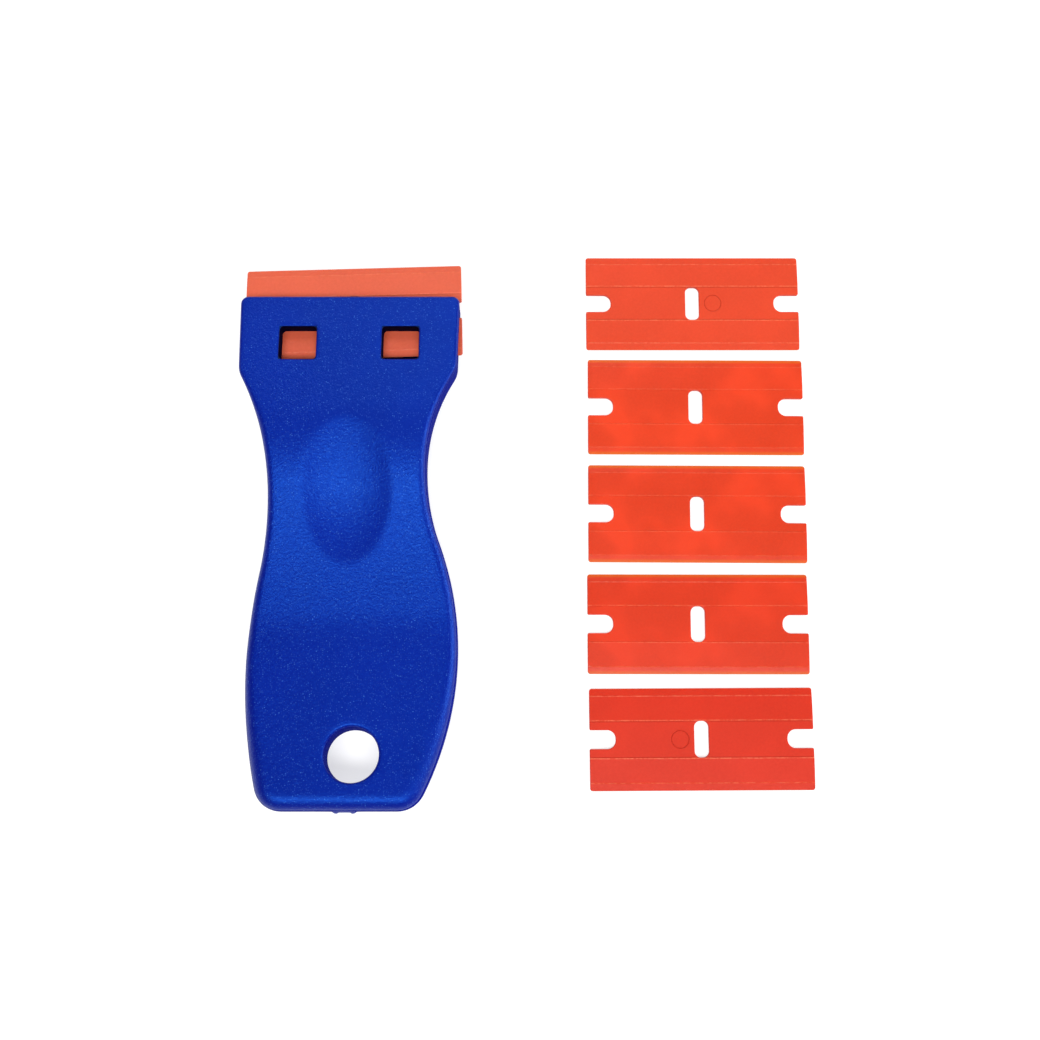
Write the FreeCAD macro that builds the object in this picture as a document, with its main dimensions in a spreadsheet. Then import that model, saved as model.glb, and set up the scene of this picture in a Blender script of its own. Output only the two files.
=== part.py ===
import FreeCAD, Part

import math
import os

import Sketcher

# Algae scraper: a one-piece moulded handle that grips a plastic blade with two edges, and five
# spare blades laid beside it. Millimetres. +Y is the way the blade faces, +Z is up, and Z = 0 is
# the surface that everything lies on. The origin is under the flat of the handle's belly.

doc = FreeCAD.newDocument("AlgaeScraper")

# ---------------------------------------------------------------- driving dimensions

DIMENSIONS = {
    # outline of the handle, seen from above
    "front_y": 54.0,
    "tail_y": -35.0,
    "head_left": 19.15,
    "head_left_back": 18.8,
    "head_right": 19.55,
    "head_right_back": 19.2,
    "waist_left": 13.35,
    "waist_left_y": 19.2,
    "neck_left_radius": 42.3,
    "waist_left_radius": 66.9,
    "belly_left_y": -11.9,
    "belly_left_radius": 78.2,
    "waist_right": 14.0,
    "waist_right_y": 22.7,
    "neck_right_radius": 33.6,
    "waist_right_radius": 35.6,
    "belly_right_y": -8.5,
    "belly_right_radius": 55.2,
    "front_corner": 1.3,
    "shoulder_round": 4.5,
    "tail_corner": 4.8,
    # side profile of the handle
    "head_tilt": 6.5,
    "head_height": 7.05,
    "brow_y": 30.0,
    "brow_radius": 44.0,
    "neck_y": -7.8,
    "neck_radius": 124.0,
    "valley_y": -3.3,
    "valley_radius": 36.0,
    "tail_top_y": 22.4,
    "tail_top_radius": 330.0,
    "belly_front_y": 3.0,
    "belly_back_y": -3.0,
    "under_neck_radius": 120.0,
    "under_brow_radius": 50.0,
    "under_tail_radius": 115.0,
    "blank_width": 60.0,
    # rounded edges
    "top_round": 1.2,
    "bottom_round": 0.8,
    "hole_round": 0.4,
    # blade slot, windows, thumb dimple, hanging hole and gate mark
    "slot_gap": 1.2,
    "slot_depth": 11.9,
    "slot_front_height": 3.5,
    "window_width": 6.45,
    "window_length": 6.05,
    "window_y": 45.2,
    "window_left_x": 8.7,
    "window_right_x": 9.25,
    "window_floor": 4.55,
    "window_corner": 0.7,
    "dimple_x": 0.4,
    "dimple_y": 18.8,
    "dimple_height": 13.0,
    "dimple_radius_x": 12.4,
    "dimple_radius_y": 20.1,
    "dimple_radius_z": 6.0,
    "dimple_tilt": 8.5,
    "hole_x": 2.05,
    "hole_y": -26.0,
    "hole_middle_height": 5.0,
    "hole_diameter": 9.2,
    "hole_tilt": 8.4,
    "gate_x": 1.0,
    "gate_width": 3.4,
    "gate_proud": 0.35,
    "gate_height": 0.8,
    "gate_middle_height": 7.0,
    # the blade
    "blade_width": 38.6,
    "blade_height": 17.4,
    "blade_thickness": 1.0,
    "blade_shoulder": 0.56,
    "blade_tip": 0.16,
    "blade_band": 6.2,
    "blade_bevel": 1.3,
    "notch_depth": 4.5,
    "notch_height": 3.2,
    "eye_width": 2.5,
    "eye_length": 6.2,
    "ring_x": 3.7,
    "ring_outer": 1.55,
    "ring_inner": 1.3,
    "ring_depth": 0.1,
    # the blade in the handle
    "fitted_x": 0.5,
    "fitted_y": 51.9,
    "fitted_skew": 1.7,
}

sheet = doc.addObject("Spreadsheet::Sheet", "Sizes")
for row, (alias, value) in enumerate(DIMENSIONS.items(), start=1):
    sheet.set(f"A{row}", alias)
    sheet.set(f"B{row}", str(value))
    sheet.setAlias(f"B{row}", alias)
doc.recompute()

# Where each spare blade lies: its middle (x, y), its turn on the table in degrees, and whether it
# lies with its marked face up.
SPARES = (
    (61.5, 54.7, 0.0, True),
    (61.7, 35.4, -0.25, False),
    (61.6, 16.0, -0.3, False),
    (61.3, -3.5, -0.1, False),
    (61.5, -23.3, 180.3, True),
)


def size(formula):
    """The value that a formula of the sheet's cells has now."""
    return float(sheet.evalExpression(formula.replace("Sizes.", "")))


# ---------------------------------------------------------------- sketch helpers

ROOT = -1        # the sketch's own origin and horizontal axis
START, END, CENTRE = 1, 2, 3


def new_sketch(body, name, role, offset=(), axis=(0, 0, 1), angle=None):
    """A sketch on one of the body's own origin planes, moved by formulas and turned about axis."""
    sketch = body.newObject("Sketcher::SketchObject", name)
    plane = next(item for item in body.Origin.OriginFeatures if item.Role == role)
    sketch.AttachmentSupport = (plane, [""])
    sketch.MapMode = "FlatFace"
    move_and_turn(sketch, "AttachmentOffset", offset, axis, angle)
    return sketch


def move_and_turn(item, placement, offset, axis, angle):
    """Ties a placement's position and its turn about an axis to the sheet."""
    if angle:
        setattr(item, placement, FreeCAD.Placement(FreeCAD.Vector(),
                                                   FreeCAD.Rotation(FreeCAD.Vector(*axis), 1.0)))
        item.setExpression(f".{placement}.Rotation.Angle", angle)
    for letter, formula in zip("xyz", offset):
        item.setExpression(f".{placement}.Base.{letter}", formula)


def bind(sketch, kind, refs, formula):
    """Adds a dimension to the sketch and ties it to the sheet."""
    index = sketch.addConstraint(Sketcher.Constraint(kind, *refs, size(formula)))
    sketch.setExpression(f"Constraints[{index}]", formula)


def place(sketch, piece, point, x=None, y=None):
    """Holds a point of a piece at the formulas x and y, measured from the sketch's origin."""
    if x:
        bind(sketch, "DistanceX", (ROOT, START, piece, point), x)
    if y:
        bind(sketch, "DistanceY", (ROOT, START, piece, point), y)


def add_line(sketch, start, end):
    """A line, as (index, first point, last point)."""
    segment = Part.LineSegment(FreeCAD.Vector(*start, 0), FreeCAD.Vector(*end, 0))
    return sketch.addGeometry(segment, False), START, END


def add_arc(sketch, start, middle, end):
    """An arc through three points, as (index, first point, last point)."""
    points = [FreeCAD.Vector(*point, 0) for point in (start, middle, end)]
    arc = Part.Arc(*points)
    index = sketch.addGeometry(arc, False)
    first_is_start = sketch.getPoint(index, START).distanceToPoint(points[0]) < 1e-6
    return (index, START, END) if first_is_start else (index, END, START)


def join(sketch, first, second, kind="Coincident"):
    """Joins the last point of one piece to the first point of the next."""
    sketch.addConstraint(Sketcher.Constraint(kind, first[0], first[2], second[0], second[1]))


def polygon(sketch, corners):
    """A closed outline of straight lines through corners given as pairs of formulas."""
    points = [(size(x), size(y)) for x, y in corners]
    lines = [add_line(sketch, a, b) for a, b in zip(points, points[1:] + points[:1])]
    for line, following, (x, y) in zip(lines, lines[1:] + lines[:1], corners):
        join(sketch, line, following)
        place(sketch, line[0], START, x, y)


def stadium(sketch, first, second, radius):
    """A closed slot with round ends about two centres, given as pairs of formulas."""
    (x1, y1), (x2, y2) = [(size(x), size(y)) for x, y in (first, second)]
    r = size(radius)
    along = FreeCAD.Vector(x2 - x1, y2 - y1, 0).normalize() * r
    side = FreeCAD.Vector(-along.y, along.x, 0)
    low = add_line(sketch, (x1 - side.x, y1 - side.y), (x2 - side.x, y2 - side.y))
    far = add_arc(sketch, (x2 - side.x, y2 - side.y), (x2 + along.x, y2 + along.y),
                  (x2 + side.x, y2 + side.y))
    high = add_line(sketch, (x2 + side.x, y2 + side.y), (x1 + side.x, y1 + side.y))
    near = add_arc(sketch, (x1 + side.x, y1 + side.y), (x1 - along.x, y1 - along.y),
                   (x1 - side.x, y1 - side.y))
    for one, following in ((low, far), (far, high), (high, near), (near, low)):
        join(sketch, one, following, "Tangent")
    place(sketch, near[0], CENTRE, *first)
    place(sketch, far[0], CENTRE, *second)
    bind(sketch, "Radius", (near[0],), radius)
    sketch.addConstraint(Sketcher.Constraint("Equal", near[0], far[0]))


def rounded_rectangle(sketch, low, high, corner):
    """A rectangle between two corners, given as pairs of formulas, with its corners rounded."""
    r = size(corner)
    x1, y1 = [size(formula) for formula in low]
    x2, y2 = [size(formula) for formula in high]
    nip = r * (1 - math.sqrt(0.5))
    bottom = add_line(sketch, (x1 + r, y1), (x2 - r, y1))
    bend_1 = add_arc(sketch, (x2 - r, y1), (x2 - nip, y1 + nip), (x2, y1 + r))
    right = add_line(sketch, (x2, y1 + r), (x2, y2 - r))
    bend_2 = add_arc(sketch, (x2, y2 - r), (x2 - nip, y2 - nip), (x2 - r, y2))
    top = add_line(sketch, (x2 - r, y2), (x1 + r, y2))
    bend_3 = add_arc(sketch, (x1 + r, y2), (x1 + nip, y2 - nip), (x1, y2 - r))
    left = add_line(sketch, (x1, y2 - r), (x1, y1 + r))
    bend_4 = add_arc(sketch, (x1, y1 + r), (x1 + nip, y1 + nip), (x1 + r, y1))
    pieces = (bottom, bend_1, right, bend_2, top, bend_3, left, bend_4)
    for one, following in zip(pieces, pieces[1:] + pieces[:1]):
        join(sketch, one, following, "Tangent")
    for line in (bottom, top):
        sketch.addConstraint(Sketcher.Constraint("Horizontal", line[0]))
    for line in (left, right):
        sketch.addConstraint(Sketcher.Constraint("Vertical", line[0]))
    place(sketch, bottom[0], START, y=low[1])
    place(sketch, top[0], START, y=high[1])
    place(sketch, left[0], START, x=low[0])
    place(sketch, right[0], START, x=high[0])
    for bend in (bend_1, bend_2, bend_3, bend_4):
        bind(sketch, "Radius", (bend[0],), corner)


def extrude(body, kind, name, sketch, length=None, both_ways=False, upward=False):
    """A Pad or Pocket of a sketch, by a formula's length or right through."""
    feature = body.newObject(f"PartDesign::{kind}", name)
    feature.Profile = sketch
    if both_ways:
        feature.SideType = "Symmetric"
    feature.Reversed = upward and kind == "Pocket"
    if length:
        feature.setExpression("Length", length)
    else:
        feature.Type = "ThroughAll"
    doc.recompute()
    return feature


def cut(body, name, sketch, **options):
    """A Pocket that must take something away."""
    before = body.Shape.Volume
    feature = extrude(body, "Pocket", name, sketch, **options)
    assert feature.Shape.Volume < before - 0.01, f"{name} cuts nothing"
    return feature


def round_edges(body, name, radius, wanted):
    """A fillet on every edge that the test picks."""
    base = body.Tip
    names = [f"Edge{i}" for i, edge in enumerate(base.Shape.Edges, start=1)
             if not edge.Degenerated and wanted(edge)]
    assert names, f"{name} finds no edge"
    fillet = body.newObject("PartDesign::Fillet", name)
    fillet.Base = (base, names)
    fillet.setExpression("Radius", radius)
    doc.recompute()
    assert fillet.Shape.isValid() and fillet.Shape.Volume > 0, f"{name} fails"
    return fillet


# ---------------------------------------------------------------- handle

def draw_side_profile(sketch):
    """The handle seen from the side: sketch x is Y, sketch y is Z."""
    front = add_line(sketch, (54.0, 0.0), (54.0, 7.05))
    head = add_line(sketch, (54.0, 7.05), (35.0, 9.3))
    brow = add_arc(sketch, (35.0, 9.3), (30.0, 9.6), (20.1, 8.5))
    neck = add_arc(sketch, (20.1, 8.5), (10.0, 6.6), (-1.4, 5.5))
    valley = add_arc(sketch, (-1.4, 5.5), (-3.3, 5.45), (-6.4, 5.6))
    tail_top = add_arc(sketch, (-6.4, 5.6), (-20.0, 7.1), (-35.0, 9.3))
    tail_end = add_line(sketch, (-35.0, 9.3), (-35.0, 4.5))
    under_tail = add_arc(sketch, (-35.0, 4.5), (-20.0, 1.26), (-3.0, 0.0))
    belly = add_line(sketch, (-3.0, 0.0), (3.0, 0.0))
    under_neck = add_arc(sketch, (3.0, 0.0), (12.0, 0.34), (21.2, 1.4))
    under_brow = add_arc(sketch, (21.2, 1.4), (28.0, 2.2), (34.0, 2.25))
    under_head = add_line(sketch, (34.0, 2.25), (54.0, 0.0))

    join(sketch, front, head)
    for one, following in ((head, brow), (brow, neck), (neck, valley), (valley, tail_top),
                           (under_tail, belly), (belly, under_neck), (under_neck, under_brow),
                           (under_brow, under_head)):
        join(sketch, one, following, "Tangent")
    join(sketch, tail_top, tail_end)
    join(sketch, tail_end, under_tail)
    join(sketch, under_head, front)

    sketch.addConstraint(Sketcher.Constraint("Vertical", front[0]))
    sketch.addConstraint(Sketcher.Constraint("Vertical", tail_end[0]))
    sketch.addConstraint(Sketcher.Constraint("PointOnObject", front[0], START, ROOT))
    sketch.addConstraint(Sketcher.Constraint("PointOnObject", belly[0], START, ROOT))
    sketch.addConstraint(Sketcher.Constraint("Horizontal", belly[0]))
    sketch.addConstraint(Sketcher.Constraint("Parallel", head[0], under_head[0]))
    place(sketch, front[0], START, x="Sizes.front_y")
    place(sketch, front[0], END, y="Sizes.head_height")
    place(sketch, tail_end[0], START, x="Sizes.tail_y")
    place(sketch, belly[0], START, x="Sizes.belly_back_y")
    place(sketch, belly[0], END, x="Sizes.belly_front_y")
    tilt = sketch.addConstraint(Sketcher.Constraint("Angle", under_head[0],
                                                    -math.radians(size("Sizes.head_tilt"))))
    sketch.setExpression(f"Constraints[{tilt}]", "-Sizes.head_tilt * 1 deg")
    for piece, centre_y, radius in ((brow, "brow_y", "brow_radius"),
                                    (neck, "neck_y", "neck_radius"),
                                    (valley, "valley_y", "valley_radius"),
                                    (tail_top, "tail_top_y", "tail_top_radius"),
                                    (under_tail, None, "under_tail_radius"),
                                    (under_neck, None, "under_neck_radius"),
                                    (under_brow, None, "under_brow_radius")):
        bind(sketch, "Radius", (piece[0],), f"Sizes.{radius}")
        if centre_y:
            place(sketch, piece[0], CENTRE, x=f"Sizes.{centre_y}")


def draw_outline(sketch):
    """What is cut away around the handle: a frame whose opening is the outline from above."""
    half = "Sizes.blank_width / 2"
    back = "Sizes.tail_y - Sizes.blank_width / 2"
    front = "Sizes.front_y + Sizes.blank_width / 2"
    polygon(sketch, ((f"-{half}", back), (half, back), (half, front), (f"-{half}", front)))

    front_line = add_line(sketch, (-19.15, 54.0), (19.55, 54.0))
    side_right = add_line(sketch, (19.55, 54.0), (19.2, 40.9))
    neck_right = add_arc(sketch, (19.2, 40.9), (15.8, 33.5), (14.0, 22.7))
    waist_right = add_arc(sketch, (14.0, 22.7), (14.9, 14.6), (16.1, 10.4))
    belly_right = add_arc(sketch, (16.1, 10.4), (19.5, -8.5), (12.8, -35.0))
    tail_line = add_line(sketch, (12.8, -35.0), (-13.0, -35.0))
    belly_left = add_arc(sketch, (-13.0, -35.0), (-16.7, -11.9), (-14.9, 4.9))
    waist_left = add_arc(sketch, (-14.9, 4.9), (-13.9, 11.0), (-13.35, 19.2))
    neck_left = add_arc(sketch, (-13.35, 19.2), (-14.7, 30.0), (-18.8, 39.9))
    side_left = add_line(sketch, (-18.8, 39.9), (-19.15, 54.0))

    for one, following in ((front_line, side_right), (side_right, neck_right),
                           (belly_right, tail_line), (tail_line, belly_left),
                           (neck_left, side_left), (side_left, front_line)):
        join(sketch, one, following)
    for one, following in ((neck_right, waist_right), (waist_right, belly_right),
                           (belly_left, waist_left), (waist_left, neck_left)):
        join(sketch, one, following, "Tangent")

    for line in (front_line, tail_line):
        sketch.addConstraint(Sketcher.Constraint("Horizontal", line[0]))
    place(sketch, front_line[0], START, "-Sizes.head_left", "Sizes.front_y")
    place(sketch, front_line[0], END, x="Sizes.head_right")
    place(sketch, side_left[0], START, x="-Sizes.head_left_back")
    place(sketch, side_right[0], END, x="Sizes.head_right_back")
    place(sketch, tail_line[0], START, y="Sizes.tail_y")
    for side, sign, neck, waist, belly in (("left", "-", neck_left, waist_left, belly_left),
                                           ("right", "", neck_right, waist_right, belly_right)):
        place(sketch, neck[0], CENTRE, y=f"Sizes.waist_{side}_y",
              x=f"{sign}(Sizes.waist_{side} + Sizes.neck_{side}_radius)")
        place(sketch, waist[0], CENTRE, y=f"Sizes.waist_{side}_y")
        place(sketch, belly[0], CENTRE, y=f"Sizes.belly_{side}_y")
        bind(sketch, "Radius", (neck[0],), f"Sizes.neck_{side}_radius")
        bind(sketch, "Radius", (waist[0],), f"Sizes.waist_{side}_radius")
        bind(sketch, "Radius", (belly[0],), f"Sizes.belly_{side}_radius")


def is_upright(edge):
    """Whether the edge is a straight line along Z."""
    return edge.Curve.TypeId == "Part::GeomLine" and abs(edge.Curve.Direction.z) > 0.999


def in_outline(edge):
    """Whether the edge follows the handle's outline, above or below."""
    middle = edge.CenterOfMass
    inside = size("Sizes.tail_y") + 0.01 < middle.y < size("Sizes.front_y") - 0.01
    crosses = edge.Curve.TypeId == "Part::GeomLine" and abs(edge.Curve.Direction.x) > 0.999
    return not is_upright(edge) and not (crosses and inside)


def make_handle():
    """The moulding: a side profile, trimmed to the outline, rounded and then opened."""
    body = doc.addObject("PartDesign::Body", "handle")
    body.Label = "handle"

    profile = new_sketch(body, "side_profile", "YZ_Plane")
    draw_side_profile(profile)
    extrude(body, "Pad", "blank", profile, length="Sizes.blank_width", both_ways=True)

    outline = new_sketch(body, "outline", "XY_Plane")
    draw_outline(outline)
    cut(body, "trim_to_outline", outline, both_ways=True)

    front_y = size("Sizes.front_y")
    tail_y = size("Sizes.tail_y")
    split_z = size("Sizes.hole_middle_height")
    neck_y = size("(Sizes.waist_right_y + Sizes.front_y) / 2")
    corners_y = front_y - size("2 * Sizes.front_corner")
    round_edges(body, "front_corners", "Sizes.front_corner",
                lambda edge: is_upright(edge) and edge.CenterOfMass.y > front_y - 0.1)
    round_edges(body, "shoulders", "Sizes.shoulder_round",
                lambda edge: is_upright(edge) and neck_y < edge.CenterOfMass.y < corners_y)
    round_edges(body, "tail_corners", "Sizes.tail_corner",
                lambda edge: is_upright(edge) and edge.CenterOfMass.y < tail_y + 0.1)
    round_edges(body, "top_edges", "Sizes.top_round",
                lambda edge: in_outline(edge) and edge.CenterOfMass.z > split_z)
    round_edges(body, "bottom_edges", "Sizes.bottom_round",
                lambda edge: in_outline(edge) and edge.CenterOfMass.z < split_z)
    return body


def make_dimple(body):
    """The shallow hollow for the thumb."""
    before = body.Shape.Volume
    dimple = body.newObject("PartDesign::SubtractiveEllipsoid", "thumb_dimple")
    dimple.setExpression("Radius1", "Sizes.dimple_radius_z")
    dimple.setExpression("Radius2", "Sizes.dimple_radius_x")
    dimple.setExpression("Radius3", "Sizes.dimple_radius_y")
    move_and_turn(dimple, "Placement", ("Sizes.dimple_x", "Sizes.dimple_y", "Sizes.dimple_height"),
                  (1, 0, 0), "Sizes.dimple_tilt")
    doc.recompute()
    assert dimple.Shape.Volume < before - 1.0, "the dimple cuts nothing"


def make_slot(body):
    """The slot that the blade is pushed into, open at the front and at both sides."""
    sketch = new_sketch(body, "slot_profile", "YZ_Plane",
                        ("Sizes.front_y", "Sizes.slot_front_height"), (0, 0, -1),
                        "Sizes.head_tilt")
    half = "Sizes.slot_gap / 2"
    polygon(sketch, (("-Sizes.slot_depth", f"-{half}"), ("Sizes.slot_gap", f"-{half}"),
                     ("Sizes.slot_gap", half), ("-Sizes.slot_depth", half)))
    cut(body, "blade_slot", sketch, both_ways=True)


def make_windows(body):
    """Two windows through the upper jaw, down to the slot."""
    sketch = new_sketch(body, "window_outlines", "XY_Plane", ("0", "0", "Sizes.window_floor"))
    back = "Sizes.window_y - Sizes.window_length / 2"
    front = "Sizes.window_y + Sizes.window_length / 2"
    for middle in ("-Sizes.window_left_x", "Sizes.window_right_x"):
        left = f"{middle} - Sizes.window_width / 2"
        right = f"{middle} + Sizes.window_width / 2"
        rounded_rectangle(sketch, (left, back), (right, front), "Sizes.window_corner")
    cut(body, "windows", sketch, upward=True)


def make_hanging_hole(body):
    """The hole in the tail, square to the tail's face, with its rims rounded."""
    sketch = new_sketch(body, "hole_outline", "XY_Plane",
                        ("Sizes.hole_x", "Sizes.hole_y", "Sizes.hole_middle_height"),
                        (-1, 0, 0), "Sizes.hole_tilt")
    radius = size("Sizes.hole_diameter / 2")
    circle = Part.Circle(FreeCAD.Vector(), FreeCAD.Vector(0, 0, 1), radius)
    ring = sketch.addGeometry(circle, False)
    sketch.addConstraint(Sketcher.Constraint("Coincident", ring, CENTRE, ROOT, START))
    bind(sketch, "Diameter", (ring,), "Sizes.hole_diameter")
    cut(body, "hanging_hole", sketch, both_ways=True)
    middle = FreeCAD.Vector(*[size(f"Sizes.{cell}") for cell in
                              ("hole_x", "hole_y", "hole_middle_height")])
    round_edges(body, "hole_rims", "Sizes.hole_round",
                lambda edge: (edge.CenterOfMass - middle).Length < radius
                and not edge.Curve.TypeId == "Part::GeomLine")


def make_gate_mark(body):
    """The stub that is left on the tail where the moulding was cut from its runner."""
    gate = body.newObject("PartDesign::AdditiveBox", "gate_mark")
    gate.setExpression("Length", "Sizes.gate_width")
    gate.setExpression("Width", "Sizes.gate_proud + Sizes.bottom_round")
    gate.setExpression("Height", "Sizes.gate_height")
    gate.setExpression(".Placement.Base.x", "Sizes.gate_x - Sizes.gate_width / 2")
    gate.setExpression(".Placement.Base.y", "Sizes.tail_y - Sizes.gate_proud")
    gate.setExpression(".Placement.Base.z", "Sizes.gate_middle_height - Sizes.gate_height / 2")
    doc.recompute()


# ---------------------------------------------------------------- blades

def make_blade(name):
    """A moulded blade about its own middle: a thick band that thins to an edge on both sides."""
    body = doc.addObject("PartDesign::Body", name)
    body.Label = name

    section = new_sketch(body, f"{name}_section", "YZ_Plane")
    steps = (("Sizes.blade_height / 2", "Sizes.blade_tip / 2"),
             ("(Sizes.blade_height / 2 - Sizes.blade_bevel)", "Sizes.blade_shoulder / 2"),
             ("Sizes.blade_band / 2", "Sizes.blade_thickness / 2"))
    upper_front = [(y, z) for y, z in steps]
    upper_back = [(f"-{y}", z) for y, z in reversed(steps)]
    lower_back = [(f"-{y}", f"-{z}") for y, z in steps]
    lower_front = [(y, f"-{z}") for y, z in reversed(steps)]
    polygon(section, upper_front + upper_back + lower_back + lower_front)
    extrude(body, "Pad", f"{name}_strip", section, length="Sizes.blade_width", both_ways=True)

    openings = new_sketch(body, f"{name}_openings", "XY_Plane")
    inner = "Sizes.blade_width / 2 - Sizes.notch_depth + Sizes.notch_height / 2"
    outer = "Sizes.blade_width / 2 + Sizes.notch_depth"
    reach = "(Sizes.eye_length - Sizes.eye_width) / 2"
    stadium(openings, (inner, "0"), (outer, "0"), "Sizes.notch_height / 2")
    stadium(openings, (f"-({inner})", "0"), (f"-({outer})", "0"), "Sizes.notch_height / 2")
    stadium(openings, ("0", f"-{reach}"), ("0", reach), "Sizes.eye_width / 2")
    cut(body, f"{name}_notches_and_eye", openings, both_ways=True)

    ring = new_sketch(body, f"{name}_ring", "XY_Plane", ("0", "0", "Sizes.blade_thickness / 2"))
    for cell in ("ring_outer", "ring_inner"):
        centre = FreeCAD.Vector(size("Sizes.ring_x"), 0, 0)
        circle = ring.addGeometry(Part.Circle(centre, FreeCAD.Vector(0, 0, 1),
                                              size(f"Sizes.{cell}")), False)
        ring.addConstraint(Sketcher.Constraint("PointOnObject", circle, CENTRE, ROOT))
        place(ring, circle, CENTRE, x="Sizes.ring_x")
        bind(ring, "Radius", (circle,), f"Sizes.{cell}")
    cut(body, f"{name}_pin_mark", ring, length="Sizes.ring_depth")
    return body


def fit_blade(body):
    """Puts a blade in the slot, a little askew, as it was pushed in."""
    tilt = size("Sizes.head_tilt")
    body.setExpression(".Placement.Base.x", "Sizes.fitted_x")
    body.setExpression(".Placement.Base.y", "Sizes.fitted_y")
    body.setExpression(".Placement.Base.z", "Sizes.slot_front_height + "
                       "(Sizes.front_y - Sizes.fitted_y) * tan(Sizes.head_tilt)")
    lean = FreeCAD.Rotation(FreeCAD.Vector(1, 0, 0), -tilt)
    skew = FreeCAD.Rotation(FreeCAD.Vector(0, 0, 1), size("Sizes.fitted_skew"))
    body.Placement.Rotation = lean * skew


def lay_blade(body, x, y, turn, marked_face_up):
    """Lays a blade flat on the table."""
    body.setExpression(".Placement.Base.z", "Sizes.blade_thickness / 2")
    body.Placement.Base.x = x
    body.Placement.Base.y = y
    roll = 0.0 if marked_face_up else 180.0
    body.Placement.Rotation = FreeCAD.Rotation(turn, roll, 0.0)


# ---------------------------------------------------------------- the set

handle = make_handle()
make_dimple(handle)
make_slot(handle)
make_windows(handle)
make_hanging_hole(handle)
make_gate_mark(handle)

fitted = make_blade("fitted_blade")
fit_blade(fitted)
parts = [handle, fitted]
for number, spare in enumerate(SPARES, start=1):
    blade = make_blade(f"spare_blade_{number}")
    lay_blade(blade, *spare)
    parts.append(blade)
doc.recompute()

for item in doc.Objects:
    faults = {"Invalid", "Error"} & set(item.State)
    assert not faults, f"{item.Name} is {faults}"

os.makedirs("parts", exist_ok=True)
for part in parts:
    shape = part.Shape
    assert not shape.isNull() and shape.isValid(), f"{part.Label} has no valid shape"
    assert len(shape.Solids) == 1, f"{part.Label} is not one solid"
    shape.exportStep(f"parts/{part.Label}.step")
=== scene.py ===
import math

import bmesh
import bpy
import numpy as np
from mathutils import Euler, Matrix, Vector, geometry


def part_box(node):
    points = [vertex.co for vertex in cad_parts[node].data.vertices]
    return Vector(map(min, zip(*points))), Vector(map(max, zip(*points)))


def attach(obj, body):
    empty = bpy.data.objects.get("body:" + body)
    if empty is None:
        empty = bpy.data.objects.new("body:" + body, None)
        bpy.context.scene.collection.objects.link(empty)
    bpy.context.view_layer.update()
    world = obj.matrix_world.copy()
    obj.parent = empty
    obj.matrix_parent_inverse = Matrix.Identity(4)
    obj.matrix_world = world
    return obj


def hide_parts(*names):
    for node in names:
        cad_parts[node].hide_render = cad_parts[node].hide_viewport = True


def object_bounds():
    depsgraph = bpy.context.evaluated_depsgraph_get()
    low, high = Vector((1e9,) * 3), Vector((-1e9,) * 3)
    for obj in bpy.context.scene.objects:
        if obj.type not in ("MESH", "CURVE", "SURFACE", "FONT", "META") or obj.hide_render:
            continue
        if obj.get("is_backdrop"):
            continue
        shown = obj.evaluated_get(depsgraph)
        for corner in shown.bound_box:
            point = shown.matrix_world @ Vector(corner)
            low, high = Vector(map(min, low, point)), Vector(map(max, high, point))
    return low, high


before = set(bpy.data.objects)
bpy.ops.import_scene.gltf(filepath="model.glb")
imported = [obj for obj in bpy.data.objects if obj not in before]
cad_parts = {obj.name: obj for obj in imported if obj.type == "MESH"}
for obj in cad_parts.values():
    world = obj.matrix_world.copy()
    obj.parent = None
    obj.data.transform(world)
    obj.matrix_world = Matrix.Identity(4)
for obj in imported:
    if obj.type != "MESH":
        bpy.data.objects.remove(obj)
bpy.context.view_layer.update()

# Shapes are worked out in millimetres, in the frame's own axes, and turned into metres at the end.
MM = 0.001


# ---------------------------------------------------------------- outlines

def round_polygon(corners, steps=8):
    """A closed outline through corners (x, y, radius), with each corner rounded."""
    points = []
    count = len(corners)
    for i, (x, y, radius) in enumerate(corners):
        here = np.array([x, y])
        back = np.array(corners[i - 1][:2]) - here
        ahead = np.array(corners[(i + 1) % count][:2]) - here
        back /= np.linalg.norm(back)
        ahead /= np.linalg.norm(ahead)
        half = 0.5 * math.acos(np.clip(back @ ahead, -1.0, 1.0))
        middle = (back + ahead) / np.linalg.norm(back + ahead)
        centre = here + middle * radius / math.sin(half)
        start = here + back * radius / math.tan(half) - centre
        end = here + ahead * radius / math.tan(half) - centre
        turn = math.atan2(start[0] * end[1] - start[1] * end[0], start @ end)
        for step in range(steps + 1):
            angle = turn * step / steps
            c, s = math.cos(angle), math.sin(angle)
            points.append(centre + (c * start[0] - s * start[1], s * start[0] + c * start[1]))
    return np.array(points)


def resample(points, spacing):
    """A closed outline again, with points as far apart as spacing gives for each place."""
    closed = np.vstack((points, points[:1]))
    gaps = np.linalg.norm(np.diff(closed, axis=0), axis=1)
    along = np.concatenate(([0.0], np.cumsum(gaps)))
    steps = np.concatenate(([0.0], np.cumsum(gaps / spacing(0.5 * (closed[1:] + closed[:-1])))))
    wanted = np.linspace(0.0, steps[-1], int(round(steps[-1])), endpoint=False)
    where = np.interp(wanted, steps, along)
    return np.column_stack([np.interp(where, along, closed[:, k]) for k in (0, 1)])


def divide(points, spacing):
    """A closed outline with its long straight runs divided, and its own points kept."""
    out = []
    for a, b in zip(points, np.roll(points, -1, axis=0)):
        length = np.linalg.norm(b - a)
        if length > 1e-6:
            parts = math.ceil(length / spacing)
            out.extend(a + (b - a) * k / parts for k in range(parts))
    return np.array(out)


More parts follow.
